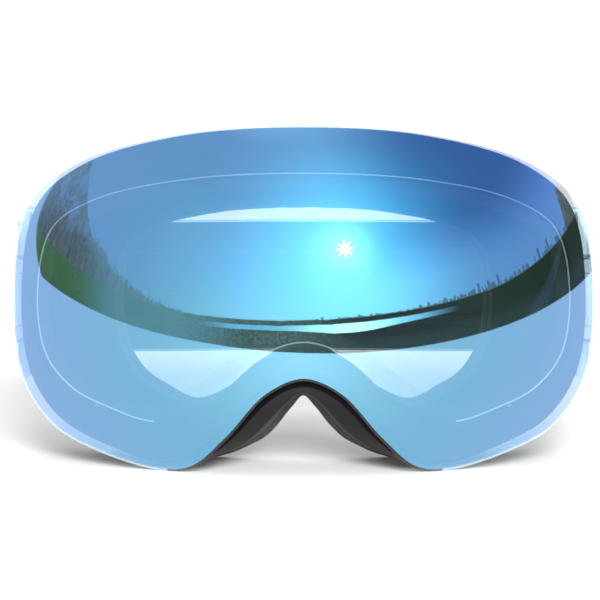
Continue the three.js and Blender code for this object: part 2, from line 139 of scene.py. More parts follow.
def outline(spec, shares):
    """The goggle outline in (x, z) at these shares of its way round, from the nose."""
    points = knots(spec)
    n = len(points)
    place = (np.asarray(shares, float) % 1) * n
    first = np.floor(place).astype(int)
    t = (place - first)[:, None]
    a, b, c, d = (points[(first + k) % n] for k in (-1, 0, 1, 2))
    gaps = [np.linalg.norm(q - p, axis=1)[:, None] ** 0.5 for p, q in ((a, b), (b, c), (c, d))]
    start = gaps[1] * ((b - a) / gaps[0] - (c - a) / (gaps[0] + gaps[1]) + (c - b) / gaps[1])
    end = gaps[1] * ((c - b) / gaps[1] - (d - b) / (gaps[1] + gaps[2]) + (d - c) / gaps[2])
    cubic = 2 * b - 2 * c + start + end
    return b + start * t + (3 * c - 3 * b - 2 * start - end) * t**2 + cubic * t**3


def dome_depth(x, z, behind=0.0):
    return LENS_RADIUS - np.sqrt((LENS_RADIUS - behind) ** 2 - x**2 - z**2)


def face_depth(x, ahead=0.0):
    return FACE_DEPTH + FACE_RADIUS - np.sqrt((FACE_RADIUS + ahead) ** 2 - x**2)


def rails(front_spec, rear_spec, inset, shares):
    """A wall's front edge on the lens's sphere and its rear edge on the face cylinder."""
    front = outline(shrunk(front_spec, inset), shares)
    rear = outline(shrunk(rear_spec, inset), shares)
    front_depth = dome_depth(front[:, 0], front[:, 1])
    rear_depth = face_depth(rear[:, 0])
    return (
        np.column_stack([front[:, 0], front_depth, front[:, 1]]),
        np.column_stack([rear[:, 0], rear_depth, rear[:, 1]]),
    )


def crossing(front, rear, surface):
    """Where the wall between two rails meets surface(points), which is 0 on the surface."""
    low = np.full(len(front), -0.6)
    high = np.full(len(front), 1.4)
    for _ in range(26):
        middle = (low + high) / 2
        past = surface(front + (rear - front) * middle[:, None]) > 0
        high = np.where(past, middle, high)
        low = np.where(past, low, middle)
    return front + (rear - front) * middle[:, None]


def at_dome(pair, behind):
    return crossing(*pair, lambda p: p[:, 1] - dome_depth(p[:, 0], p[:, 2], behind))


def at_face(pair, ahead):
    return crossing(*pair, lambda p: p[:, 1] - face_depth(p[:, 0], ahead))


ROUND = np.arange(STATIONS) / STATIONS


# ---- making objects --------------------------------------------------------------------


def make(name, points, faces, materials, face_slots=None, sharp=None):
    """A mesh object from points in millimetres, with its faces turned outwards."""
    mesh = bpy.data.meshes.new(name)
    mesh.from_pydata([tuple(p) for p in to_frame(points)], [], [tuple(map(int, f)) for f in faces])
    for material in materials:
        mesh.materials.append(material)
    if face_slots is not None:
        mesh.polygons.foreach_set("material_index", np.asarray(face_slots, np.int32))
    obj = bpy.data.objects.new(name, mesh)
    bpy.context.scene.collection.objects.link(obj)
    tidy_shading(mesh, sharp)
    return obj


def tidy_shading(mesh, sharp=None):
    """Faces outwards and smooth, with edges past an angle in degrees left sharp."""
    work = bmesh.new()
    work.from_mesh(mesh)
    bmesh.ops.recalc_face_normals(work, faces=work.faces)
    work.to_mesh(mesh)
    work.free()
    mesh.shade_smooth()
    if sharp is not None:
        mesh.set_sharp_from_angle(angle=math.radians(sharp))


def grid_faces(rows, columns, wrap_rows, wrap_columns):
    faces = []
    for i in range(rows if wrap_rows else rows - 1):
        for j in range(columns if wrap_columns else columns - 1):
            k, m = (i + 1) % rows, (j + 1) % columns
            faces.append((i * columns + j, i * columns + m, k * columns + m, k * columns + j))
    return faces


def ring(name, loops, materials, sharp=None):
    """A closed ring through loops that follow one another round its cross-section."""
    loops = np.asarray(loops)
    faces = grid_faces(loops.shape[0], loops.shape[1], True, True)
    return make(name, loops.reshape(-1, 3), faces, materials, sharp=sharp)


def bar_along(name, sections, materials, sharp=None):
    """A solid through closed sections that follow one another, with flat ends."""
    sections = np.asarray(sections)
    rows, columns = sections.shape[:2]
    faces = grid_faces(rows, columns, False, True)
    faces += [tuple(range(columns)), tuple((rows - 1) * columns + j for j in range(columns))]
    return make(name, sections.reshape(-1, 3), faces, materials, sharp=sharp)


def finished(obj, body, slot, *replaced):
    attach(obj, body)
    if replaced:
        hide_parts(*replaced)
    return obj


def settle_modifiers(obj):
    """Puts the result of the object's modifiers into its mesh."""
    bpy.context.view_layer.update()
    shaped = obj.evaluated_get(bpy.context.evaluated_depsgraph_get())
    mesh = bpy.data.meshes.new_from_object(shaped)
    obj.modifiers.clear()
    obj.data = mesh
    return obj


def refined(node, material, bevel, sharp=40):
    """A copy of a CAD node with its facets merged and its edges rounded."""
    obj = bpy.data.objects.new(f"{node}_finished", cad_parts[node].data.copy())
    bpy.context.scene.collection.objects.link(obj)
    work = bmesh.new()
    work.from_mesh(obj.data)
    bmesh.ops.remove_doubles(work, verts=work.verts, dist=1e-6)
    bmesh.ops.dissolve_limit(
        work, angle_limit=math.radians(1), verts=work.verts, edges=work.edges, use_dissolve_boundaries=False
    )
    work.to_mesh(obj.data)
    work.free()
    rounding = obj.modifiers.new("rounding", "BEVEL")
    rounding.width = bevel * MM
    rounding.segments = 3
    rounding.limit_method = "ANGLE"
    rounding.angle_limit = math.radians(sharp)
    rounding.use_clamp_overlap = True
    settle_modifiers(obj)
    obj.data.materials.clear()
    obj.data.materials.append(material)
    tidy_shading(obj.data, sharp)
    return obj


# ---- node helpers ----------------------------------------------------------------------


class Nodes:
    """Short ways to add and join nodes in one tree."""

    def __init__(self, tree):
        self.tree = tree

    def add(self, kind, inputs=(), **settings):
        node = self.tree.nodes.new(kind)
        for key, value in settings.items():
            setattr(node, key, value)
        for key, value in dict(inputs).items():
            self.give(node.inputs[key], value)
        return node

    def give(self, socket, value):
        if isinstance(value, bpy.types.NodeSocket):
            self.tree.links.new(value, socket)
        elif value is not None:
            socket.default_value = value

    def math(self, operation, a, b=None, c=None, clamp=False):
        node = self.add("ShaderNodeMath", operation=operation, use_clamp=clamp)
        for socket, value in zip(node.inputs, (a, b, c)):
            self.give(socket, value)
        return node.outputs[0]

    def times(self, a, b):
        return self.math("MULTIPLY", a, b)

    def plus(self, a, b):
        return self.math("ADD", a, b)

    def minus(self, a, b):
        return self.math("SUBTRACT", a, b)

    def scaled(self, a, by, added, clamp=False):
        """a times by, plus added."""
        return self.math("MULTIPLY_ADD", a, by, added, clamp)

    def step(self, value, low, high):
        """0 below low and 1 above high, smooth between."""
        node = self.add("ShaderNodeMapRange", interpolation_type="SMOOTHSTEP")
        for key, given in (("Value", value), ("From Min", low), ("From Max", high)):
            self.give(node.inputs[key], given)
        return node.outputs["Result"]

    def mix(self, factor, a, b, blend="MIX"):
        node = self.add("ShaderNodeMix", data_type="RGBA", blend_type=blend)
        for socket, value in ((node.inputs[0], factor), (node.inputs[6], a), (node.inputs[7], b)):
            self.give(socket, value)
        return node.outputs[2]

    def ramp(self, value, stops):
        node = self.add("ShaderNodeValToRGB", {"Fac": value})
        points = node.color_ramp.elements
        while len(points) < len(stops):
            points.new(0.5)
        for point, (place, colour) in zip(points, stops):
            point.position = place
            point.color = colour
        return node.outputs["Color"]

    def noise(self, scale, detail=3.0, where=None, dimensions="3D", roughness=0.5):
        inputs = {"Scale": scale, "Detail": detail, "Roughness": roughness}
        node = self.add("ShaderNodeTexNoise", inputs, noise_dimensions=dimensions)
        self.give(node.inputs["Vector"], where)
        return node.outputs["Fac"]

    def place(self):
        """The point on the object, in metres in the row's frame."""
        return self.add("ShaderNodeTexCoord").outputs["Object"]

    def split(self, vector):
        return self.add("ShaderNodeSeparateXYZ", {"Vector": vector}).outputs

    def bump(self, height, strength, distance, normal=None):
        inputs = {"Height": height, "Strength": strength, "Distance": distance * MM}
        node = self.add("ShaderNodeBump", inputs)
        self.give(node.inputs["Normal"], normal)
        return node.outputs["Normal"]


def grey(level):
    return (level, level, level, 1)


def new_material(name):
    material = bpy.data.materials.new(name)
    material.use_nodes = True
    shader = material.node_tree.nodes["Principled BSDF"]
    return material, Nodes(material.node_tree), shader


def set_shader(nodes, shader, **values):
    for key, value in values.items():
        nodes.give(shader.inputs[key.replace("_", " ")], value)


# ---- materials -------------------------------------------------------------------------


def mirror_coating():
    """A blue mirror film, more cyan in the middle and more violet at the lens's ends."""
    material, nodes, shader = new_material("mirror_coating")
    x, _, z = nodes.split(nodes.place())
    across = nodes.math("DIVIDE", x, LENS["w"] * MM)
    up = nodes.math("DIVIDE", nodes.minus(z, float(ORIGIN[2])), LENS_TOP * MM)
    square = nodes.scaled(across, across, nodes.times(up, nodes.times(up, 0.35)))
    middle, shoulder, end = (0.26, 0.70, 0.92, 1), (0.21, 0.58, 0.86, 1), (0.28, 0.52, 0.92, 1)
    colour = nodes.ramp(square, [(0.0, middle), (0.32, shoulder), (1.0, end)])
    shift = nodes.noise(9.0, 1.0, nodes.place())
    colour = nodes.mix(nodes.times(shift, 0.10), colour, (0.34, 0.62, 1.0, 1))
    smudge = nodes.step(nodes.noise(60.0, 5.0, nodes.place()), 0.45, 0.8)
    roughness = nodes.scaled(smudge, 0.02, 0.012)
    set_shader(nodes, shader, Base_Color=colour, Roughness=roughness, Metallic=1.0, Alpha=0.62)
    return material


def polished_edge(name, dark, light):
    """The lens's clear polished edge."""
    material, nodes, shader = new_material(name)
    cloud = nodes.noise(140.0, 2.0, nodes.place())
    colour = nodes.mix(cloud, dark, light)
    roughness = nodes.scaled(cloud, 0.10, 0.06)
    set_shader(nodes, shader, Base_Color=colour, Roughness=roughness, IOR=1.58, Alpha=0.4)
    return material


def clear_plastic(name, tint, alpha, glow=0.0):
    """Clear moulded plastic; a glow is painted light, an emission standing in for the light an edge gathers
    from the whole sheet.
    """
    material, nodes, shader = new_material(name)
    haze = nodes.noise(80.0, 4.0, nodes.place())
    colour = nodes.mix(haze, tint, tuple(min(1.0, c * 1.06) for c in tint[:3]) + (1,))
    roughness = nodes.scaled(haze, 0.05, 0.02)
    set_shader(nodes, shader, Base_Color=colour, Roughness=roughness, IOR=1.5, Alpha=alpha)
    # Painted light: the emission makes the plastic glow though it is no lamp.
    shader.inputs["Emission Color"].default_value = tint
    shader.inputs["Emission Strength"].default_value = glow
    return material


def moulded(name, colour, roughness, grain_mm=0.5, depth_mm=0.03, lighter=1.5, specular=0.5):
    """Moulded plastic or rubber: a fine spark-eroded grain and slight cloudiness."""
    material, nodes, shader = new_material(name)
    where = nodes.place()
    cloud = nodes.noise(35.0, 4.0, where)
    grain = nodes.noise(1000.0 / grain_mm, 2.0, where)
    pale = tuple(min(1.0, c * lighter) for c in colour[:3]) + (1,)
    base = nodes.mix(nodes.step(cloud, 0.35, 0.75), colour, pale)
    base = nodes.mix(nodes.times(grain, 0.25), base, pale)
    rough = nodes.scaled(cloud, 0.16, roughness - 0.08, clamp=True)
    normal = nodes.bump(grain, 0.35, depth_mm)
    set_shader(
        nodes, shader, Base_Color=base, Roughness=rough, Normal=normal, Specular_IOR_Level=specular
    )
    return material


def open_foam(name, dark, light, cell_mm=0.55):
    """Open-cell foam: round cells with pale rims and dark middles, over a slow change of tone; the dark
    middles are painted shade in the pores.
    """
    material, nodes, shader = new_material(name)
    where = nodes.place()
    cells = nodes.add("ShaderNodeTexVoronoi", {"Vector": where, "Scale": 1000.0 / cell_mm}, feature="F1")
    # Painted shade: the cells' dark middles stand for the shade in the pores.
    pores = nodes.step(cells.outputs["Distance"], 0.1, 0.55)
    speckle = nodes.step(nodes.noise(1600.0, 2.0, where), 0.48, 0.72)
    tone = nodes.noise(70.0, 3.0, where)
    factor = nodes.times(pores, nodes.scaled(speckle, 0.6, 0.4))
    factor = nodes.scaled(nodes.minus(tone, 0.5), 0.5, factor, clamp=True)
    colour = nodes.mix(factor, dark, light)
    normal = nodes.bump(pores, 0.7, 0.25)
    set_shader(nodes, shader, Base_Color=colour, Roughness=0.95, Normal=normal, Specular_IOR_Level=0.1)
    shader.inputs["Sheen Weight"].default_value = 0.12
    shader.inputs["Sheen Roughness"].default_value = 0.6
    return material


def fleece_cloth():
    """Brushed fleece: short soft pile in tufts."""
    material, nodes, shader = new_material("fleece_cloth")
    where = nodes.place()
    pile = nodes.noise(900.0, 4.0, where, roughness=0.7)
    tuft = nodes.noise(260.0, 3.0, where)
    tone = nodes.scaled(tuft, 0.5, nodes.times(pile, 0.5))
    colour = nodes.ramp(tone, [(0.3, (0.028, 0.028, 0.032, 1)), (0.7, (0.09, 0.09, 0.098, 1))])
    height = nodes.scaled(tuft, 0.8, pile)
    normal = nodes.bump(height, 0.8, 0.35)
    set_shader(nodes, shader, Base_Color=colour, Roughness=1.0, Normal=normal, Specular_IOR_Level=0.15)
    shader.inputs["Sheen Weight"].default_value = 0.4
    shader.inputs["Sheen Roughness"].default_value = 0.5
    shader.inputs["Sheen Tint"].default_value = (0.8, 0.85, 0.95, 1)
    return material


def elastic_webbing(name, face, shade, rib_mm=1.6, weft_mm=0.9):
    """Woven elastic: ribs along the strap crossed by a finer weft; where the weave is low it takes the
    shade colour, a painted shade in its hollows.
    """
    material, nodes, shader = new_material(name)
    u, v, _ = nodes.split(nodes.add("ShaderNodeUVMap", uv_map="weave").outputs["UV"])
    turn = 2 * math.pi
    rib = nodes.math("SINE", nodes.times(v, turn / rib_mm))
    offset = nodes.times(nodes.math("FLOOR", nodes.math("DIVIDE", v, rib_mm)), math.pi)
    weft = nodes.math("SINE", nodes.scaled(u, turn / weft_mm, offset))
    weave = nodes.scaled(nodes.times(rib, weft), 0.30, 0.5)
    weave = nodes.scaled(rib, 0.20, weave)
    fuzz = nodes.noise(1400.0, 3.0, nodes.place())
    cloud = nodes.noise(30.0, 3.0, nodes.place())
    # Painted shade: the colour turns to the shade colour where the weave is low, in its hollows.
    factor = nodes.scaled(fuzz, 0.25, nodes.times(weave, 0.9), clamp=True)
    colour = nodes.mix(factor, shade, face)
    colour = nodes.mix(nodes.times(nodes.step(cloud, 0.4, 0.8), 0.25), colour, shade)
    normal = nodes.bump(weave, 0.9, 0.25)
    set_shader(nodes, shader, Base_Color=colour, Roughness=0.8, Normal=normal, Specular_IOR_Level=0.3)
    shader.inputs["Sheen Weight"].default_value = 0.12
    return material


def plated_metal(name, colour, roughness):
    material, nodes, shader = new_material(name)
    where = nodes.place()
    streaks = nodes.add("ShaderNodeMapping", {"Vector": where, "Scale": (60, 60, 3000)}).outputs[0]
    brushed = nodes.noise(3.0, 3.0, streaks)
    wear = nodes.step(nodes.noise(220.0, 4.0, where), 0.55, 0.75)
    base = nodes.mix(wear, colour, tuple(c * 0.7 for c in colour[:3]) + (1,))
    rough = nodes.scaled(brushed, 0.2, roughness - 0.1)
    normal = nodes.bump(brushed, 0.15, 0.02)
    set_shader(nodes, shader, Base_Color=base, Roughness=rough, Normal=normal, Metallic=1.0)
    return material


def make_materials():
    return dict(
        mirror=mirror_coating(),
        # The lens's polished edge is pale all round; near the nose a copy painted dark stands for the shade
        # it lies in there, a painted shade.
        edge=polished_edge("polished_edge", (0.62, 0.90, 0.97, 1), (0.82, 0.97, 1.0, 1)),
        painted_shade_nose_edge=polished_edge("painted_shade_nose_edge", (0.010, 0.013, 0.016, 1), (0.030, 0.036, 0.042, 1)),
        tint=clear_plastic("lens_back", (0.10, 0.16, 0.20, 1), 0.04),
        inner=clear_plastic("inner_lens_clear", (0.16, 0.20, 0.22, 1), 0.04),
        # The inner lens's rim glows with painted light.
        inner_rim=clear_plastic("inner_lens_rim", (0.80, 0.95, 1.0, 1), 0.85, glow=0.3),
        gasket=clear_plastic("gasket_silicone", (0.30, 0.36, 0.40, 1), 0.06),
        carrier=moulded("carrier_nylon", (0.016, 0.018, 0.021, 1), 0.7, specular=0.1),
        frame=moulded("frame_polyurethane", (0.003, 0.003, 0.0036, 1), 0.75, 0.8, 0.06, 2.0, specular=0.06),
        base_foam=open_foam("base_foam", (0.011, 0.011, 0.012, 1), (0.075, 0.075, 0.081, 1), 0.6),
        mid_foam=open_foam("mid_foam", (0.009, 0.009, 0.010, 1), (0.055, 0.055, 0.060, 1), 0.45),
        vent_foam=open_foam("vent_foam", (0.012, 0.012, 0.013, 1), (0.08, 0.08, 0.085, 1), 0.9),
        fleece=fleece_cloth(),
        ice=moulded("ice_nylon", (0.50, 0.66, 0.76, 1), 0.34, 0.6, 0.02, 1.15),
        # The second colour of each webbing is painted shade for the weave's hollows.
        strap=elastic_webbing("strap_outside", (0.50, 0.66, 0.76, 1), (0.22, 0.34, 0.42, 1)),
        lining=elastic_webbing("strap_inside", (0.024, 0.026, 0.031, 1), (0.008, 0.009, 0.011, 1)),
        thread=moulded("stitching_thread", (0.50, 0.62, 0.70, 1), 0.7, 0.25, 0.04),
        silicone=moulded("grip_silicone", (0.020, 0.022, 0.026, 1), 0.4, 0.8, 0.01, 1.3, specular=0.3),
        magnet=plated_metal("nickel_plate", (0.62, 0.60, 0.56, 1), 0.28),
        steel=plated_metal("stainless_steel", (0.46, 0.47, 0.49, 1), 0.32),
    )


looks = make_materials()


# ---- the lens unit ---------------------------------------------------------------------


def lens_shell(name, spec, layer, chamfer, skins, nose_span):
    """A dome cut to an outline: front, polished edge and back, each with its own skin.

    The edge takes a fourth skin over this span of knots on either side of the nose."""
    near, far = layer
    middle = np.array([0.0, 10.0])
    edge = outline(spec, ROUND)
    face_edge = outline(shrunk(spec, chamfer), ROUND)
    shares = np.sin(np.linspace(0, 0.5 * math.pi, 29))[1:]

    def ring_at(flat, behind):
        return np.column_stack([flat[:, 0], dome_depth(flat[:, 0], flat[:, 1], behind), flat[:, 1]])

    fronts = [ring_at(middle + (face_edge - middle) * s, near) for s in shares]
    sides = [ring_at(edge, near + chamfer), ring_at(edge, far - 0.2)]
    backs = [ring_at(middle + (face_edge - middle) * s, far) for s in reversed(shares)]
    rings = fronts + sides + backs
    count = len(rings) * STATIONS
    poles = [[0, dome_depth(0, middle[1], behind), middle[1]] for behind in (near, far)]
    points = np.vstack([*rings, poles])
    faces = grid_faces(len(rings), STATIONS, False, True)
    last = count - STATIONS
    faces += [(count, (j + 1) % STATIONS, j) for j in range(STATIONS)]
    faces += [(count + 1, last + j, last + (j + 1) % STATIONS) for j in range(STATIONS)]
    bands = len(rings) - 1
    first_side, first_back = len(fronts) - 1, len(fronts) + len(sides) - 1
    slots = [0 if i < first_side else 1 if i <= first_back else 2 for i in range(bands)]
    near_nose = [nose_span[0] <= min(share, 1 - share) * KNOTS <= nose_span[1] for share in ROUND]
    face_slots = [3 if s == 1 and near_nose[j] else s for s in slots for j in range(STATIONS)]
    face_slots += [0] * STATIONS + [2] * STATIONS
    return make(name, points, faces, [looks[s] for s in skins], face_slots, sharp=25)


def rim_section(spec_out, spec_in, near, far, rounding):
    """Loops round a rim between two outlines and two depths behind the lens's front."""
    outer = outline(spec_out, ROUND)
    inner = outline(spec_in, ROUND)
    width = np.linalg.norm(outer - inner, axis=1)[:, None]
    loops = []
    corners = [(0, near, 180), (1, near, 270), (1, far, 0), (0, far, 90)]
    for side, depth, start in corners:
        for step in range(4):
            angle = math.radians(start + 30 * step)
            inset = rounding * (1 if side == 0 else -1)
            along = side + (inset + rounding * math.cos(angle)) / width
            flat = inner + (outer - inner) * along
            level = depth + rounding * (1 if depth == near else -1) + rounding * math.sin(angle)
            behind = dome_depth(flat[:, 0], flat[:, 1], level)
            loops.append(np.column_stack([flat[:, 0], behind, flat[:, 1]]))
    return loops


def cut(obj, cutters):
    """Takes the cutters out of obj and removes them."""
    for cutter in cutters:
        taking = obj.modifiers.new("cut", "BOOLEAN")
        taking.operation = "DIFFERENCE"
        taking.object = cutter
        taking.solver = "EXACT"
    settle_modifiers(obj)
    for cutter in cutters:
        bpy.data.objects.remove(cutter)
    return obj


def join(target, *others):
    """Puts the others' meshes into the target's and removes them."""
    work = bmesh.new()
    for obj in (target, *others):
        work.from_mesh(obj.data)
    work.to_mesh(target.data)
    work.free()
    for obj in others:
        bpy.data.objects.remove(obj)
    return target


def magnet_axes(node):
    """A magnet's middle, its three axes from the thinnest, and its half sizes, in mm."""
    corners = np.unique(np.round([v.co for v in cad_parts[node].data.vertices], 6), axis=0)
    corners = (corners - ORIGIN) / MM
    middle = corners.mean(0)
    axes = np.linalg.svd(corners - middle)[2][::-1]
    if axes[0][1] < 0:
        axes[0] *= -1
    return middle, axes, np.abs((corners - middle) @ axes.T).max(0)


def pocket(node, opening):
    """A cutter for the pocket round a magnet, open this far behind it, or in front if negative."""
    middle, axes, half = magnet_axes(node)
    half = half + 0.3
    corners = []
    for level in (-half[0] + min(opening, 0), half[0] + max(opening, 0)):
        for across, along in ((-1, -1), (1, -1), (1, 1), (-1, 1)):
            corners.append(middle + np.array([level, across * half[1], along * half[2]]) @ axes)
    faces = [(0, 1, 2, 3), (4, 5, 6, 7)] + [(k, (k + 1) % 4, (k + 1) % 4 + 4, k + 4) for k in range(4)]
    return make(f"pocket_{node}", corners, faces, [])


def rim_place(knot):
    """A place on the carrier's rim, counted in outline knots from the nose, as (x, z)."""
    outer, inner = (outline(spec, [knot / KNOTS])[0] for spec in (shrunk(LENS, 3), shrunk(INNER, -0.8)))
    return outer + (inner - outer) * 0.35


def turned_rod(name, place, start, profile, materials, sides=24):
    """A rod along Y with its middle at (x, z), through (distance behind start, radius) pairs."""
    angles = np.arange(sides) * 2 * math.pi / sides
    sections = []
    for back, radius in profile:
        across = place[0] + radius * np.cos(angles)
        up = place[1] + radius * np.sin(angles)
        sections.append(np.column_stack([across, np.full(sides, start + back), up]))
    return bar_along(name, sections, materials, 40)


def carrier_rim():
    """The rim behind the lens, with its locating pegs and the pockets for its magnets."""
    outside = shrunk(LENS, 3)
    outside["top"] = LENS_TOP - 1.2
    loops = rim_section(outside, shrunk(INNER, -0.8), *CARRIER, 0.5)
    rim = ring("lens_carrier_rim", loops, [looks["carrier"]], 40)
    cut(rim, [pocket(f"lens_magnet_{i}", 2.0) for i in range(1, 9)])
    pegs = []
    for knot in PEG_KNOTS:
        place = rim_place(knot)
        start = dome_depth(*place, PEG_START)
        profile = [(0, 2.3), (1.2, 2.3), (1.8, 1.75), (4.9, 1.75), (5.4, 1.45), (5.6, 0.9)]
        pegs.append(turned_rod("peg", place, start, profile, [looks["carrier"]]))
    join(rim, *pegs)
    return rim


def lens_unit():
    # Near the nose the outer lens's edge takes the copy painted dark, a painted shade.
    skins = ("mirror", "edge", "tint", "painted_shade_nose_edge")
    lens = lens_shell("mirrored_lens", LENS, OUTER_LENS, 0.8, skins, (0, 3.9))
    finished(lens, "lens_unit", "lens_mirror", "outer_lens")
    # The inner lens's rim glows with painted light, except near the nose.
    skins = ("inner", "inner_rim", "inner", "inner")
    inner = lens_shell("clear_inner_lens", INNER, INNER_LENS, 0.4, skins, (0.9, 3.9))
    finished(inner, "lens_unit", "lens_clear", "inner_lens")
    sides = rim_section(shrunk(INNER, 1.2), shrunk(INNER, 5), *GASKET, 0.6)
    gasket = ring("lens_gasket_tape", sides, [looks["gasket"]])
    finished(gasket, "lens_unit", "gasket_foam", "lens_gasket")
    finished(carrier_rim(), "lens_unit", "carrier_plastic", "lens_carrier")


lens_unit()


# ---- the frame -------------------------------------------------------------------------


def rail_span(low_x, high_x, low, high):
    """The span of shares, within two shares, over which the frame's front rail crosses these x."""
    fine = np.linspace(low, high, 2000)
    x = outline(FRAME_FRONT, fine)[:, 0]
    order = np.argsort(x)
    return sorted(np.interp([low_x, high_x], x[order], fine[order]))


def window_spans():
    """The spans of shares that the vent windows take, along the brow and under each cheek."""
    half = VENT["width"] / 2
    spans = []
    for i in range(-3, 4):
        middle = i * VENT["pitch"]
        spans.append(rail_span(middle - half, middle + half, 9 / 24, 15 / 24))
    for middle in (43, 61):
        spans.append(rail_span(middle - half, middle + half, 3 / 24, 6.4 / 24))
        spans.append(rail_span(-middle - half, -middle + half, 17.6 / 24, 21 / 24))
    return spans


def chassis_wall():
    """The frame's wall as a soft-edged shell with rounded vent windows."""
    soft = 0.0022
    spans = window_spans()
    marks = sorted({e for low, high in spans for e in (low, low + soft, high - soft, high)})
    stations = []
    for mark, following in zip(marks, marks[1:] + [marks[0] + 1]):
        steps = max(1, round((following - mark) * 84))
        stations += [mark + (following - mark) * k / steps for k in range(steps)]
    stations = np.array(stations)
    pair = rails(FRAME_FRONT, FRAME_REAR, 0, stations)
    front = at_dome(pair, SEAT[0])
    rear = at_face(pair, CHASSIS_REAR)
    levels = [0, 0.03, VENT["front"], VENT["front"] + 0.05, VENT["rear"] - 0.05, VENT["rear"], 0.96, 1]
    rows = np.array([front + (rear - front) * level for level in levels])
    columns = len(stations)
    faces = []
    for i in range(len(levels) - 1):
        for j in range(columns):
            middle = (stations[j] + stations[(j + 1) % columns] + (1 if j == columns - 1 else 0)) / 2 % 1
            inside = any(low < middle < high for low, high in spans)
            if not (inside and VENT["front"] <= levels[i] < VENT["rear"]):
                m = (j + 1) % columns
                here, beyond = i * columns, (i + 1) * columns
                faces.append((here + j, here + m, beyond + m, beyond + j))
    used = sorted({v for face in faces for v in face})
    renumber = {v: k for k, v in enumerate(used)}
    points = rows.reshape(-1, 3)[used]
    wall = make("frame_wall", points, [[renumber[v] for v in f] for f in faces], [looks["frame"]])
    thick = wall.modifiers.new("thickness", "SOLIDIFY")
    thick.thickness = WALL * MM
    thick.offset = -1
    soften = wall.modifiers.new("soft edges", "SUBSURF")
    soften.levels = soften.render_levels = 2
    settle_modifiers(wall)
    tidy_shading(wall.data)
    return wall


def seat_ring():
    """The flange that the lens unit sits on, with a pocket for each magnet."""
    spec_in = shrunk(INNER, -0.8)
    section = rim_section(shrunk(FRAME_FRONT, 0.4), spec_in, *SEAT, 0.5)
    seat = ring("frame_seat", section, [looks["frame"]], 40)
    cutters = [pocket(f"frame_magnet_{i}", -2.0) for i in range(1, 9)]
    for knot in PEG_KNOTS:
        place = rim_place(knot)
        hole = [(0, 2.4), (12, 2.4)]
        cutters.append(turned_rod("hole", place, dome_depth(*place, PEG_START), hole, []))
    cut(seat, cutters)
    tidy_shading(seat.data, 40)
    return seat


def vent_lining(name, low, high):
    """A thin strip of foam behind the vent windows, between two shares of the outline."""
    shares = np.linspace(low, high, 60)
    outer = rails(FRAME_FRONT, FRAME_REAR, WALL + 0.35, shares)
    inner = rails(FRAME_FRONT, FRAME_REAR, WALL + 2.4, shares)
    corners = [at_dome(outer, SEAT[1] + 0.4), at_face(outer, CHASSIS_REAR + 0.1)]
    corners += [at_face(inner, CHASSIS_REAR + 0.1), at_dome(inner, SEAT[1] + 0.4)]
    sections = []
    for j in range(len(shares)):
        section = []
        for k in range(4):
            a, b = corners[k][j], corners[(k + 1) % 4][j]
            steps = 8 if k % 2 == 0 else 2
            section += [a + (b - a) * s / steps for s in range(steps)]
        sections.append(section)
    return bar_along(name, sections, [looks["vent_foam"]], 50)


def foam_section(near, far, rear_round, front_round, crown):
    """A foam layer's cross-section as (share across, mm from that side's edge, mm ahead)."""
    across = [s / 9 for s in range(1, 9)]
    section = foam_corner(0, near, rear_round, 6, 1)
    section += [(p, 0, near - crown * math.sin(math.pi * p)) for p in across]
    section += foam_corner(1, near, rear_round, 6, 1)
    section += foam_corner(1, far, front_round, 4, -1)
    section += [(p, 0, far) for p in reversed(across)]
    section += foam_corner(0, far, front_round, 4, -1)
    return section


def foam_corner(side, level, radius, count, towards):
    """A rounded corner in count points: towards is 1 at a layer's rear face and -1 at its front."""
    sign = 1 if side == 0 else -1
    corner = []
    for angle in np.radians(np.linspace(0, 90, count)):
        inwards = sign * radius * (1 - math.cos(angle))
        corner.append((side, inwards, level + towards * radius * (1 - math.sin(angle))))
    from_side = side == (0 if towards == 1 else 1)
    return corner if from_side else corner[::-1]


def foam_ring(name, look, layer, inset, rear_round, front_round, crown, unevenness):
    """One layer of the face foam, cut to the face's cylinder, crowned and slightly uneven."""
    near, far = layer
    outer = rails(FRAME_FRONT, FRAME_REAR, inset, ROUND)
    inner = rails(OPENING_FRONT, OPENING_REAR, 0, ROUND)
    loops = []
    for side, inward, ahead in foam_section(near, far, rear_round, front_round, crown):
        out_edge, in_edge = at_face(outer, ahead), at_face(inner, ahead)
        across = out_edge - in_edge
        width = np.linalg.norm(across[:, [0, 2]], axis=1)[:, None]
        loop = in_edge + across * (side + inward / width)
        loop[:, 1] = face_depth(loop[:, 0], ahead)
        loops.append(loop)
    loops = np.array(loops)
    loops[:, :, 2] = np.maximum(loops[:, :, 2], FLOOR)
    middle = loops.mean(axis=0, keepdims=True)
    away = loops - middle
    away /= np.linalg.norm(away, axis=2, keepdims=True)
    rough = np.array([[noise.noise(Vector(p) * 0.16) for p in loop] for loop in loops])
    loops += away * (rough * unevenness)[:, :, None]
    loops[:, :, 2] = np.maximum(loops[:, :, 2], FLOOR)
    return ring(name, loops, [looks[look]])


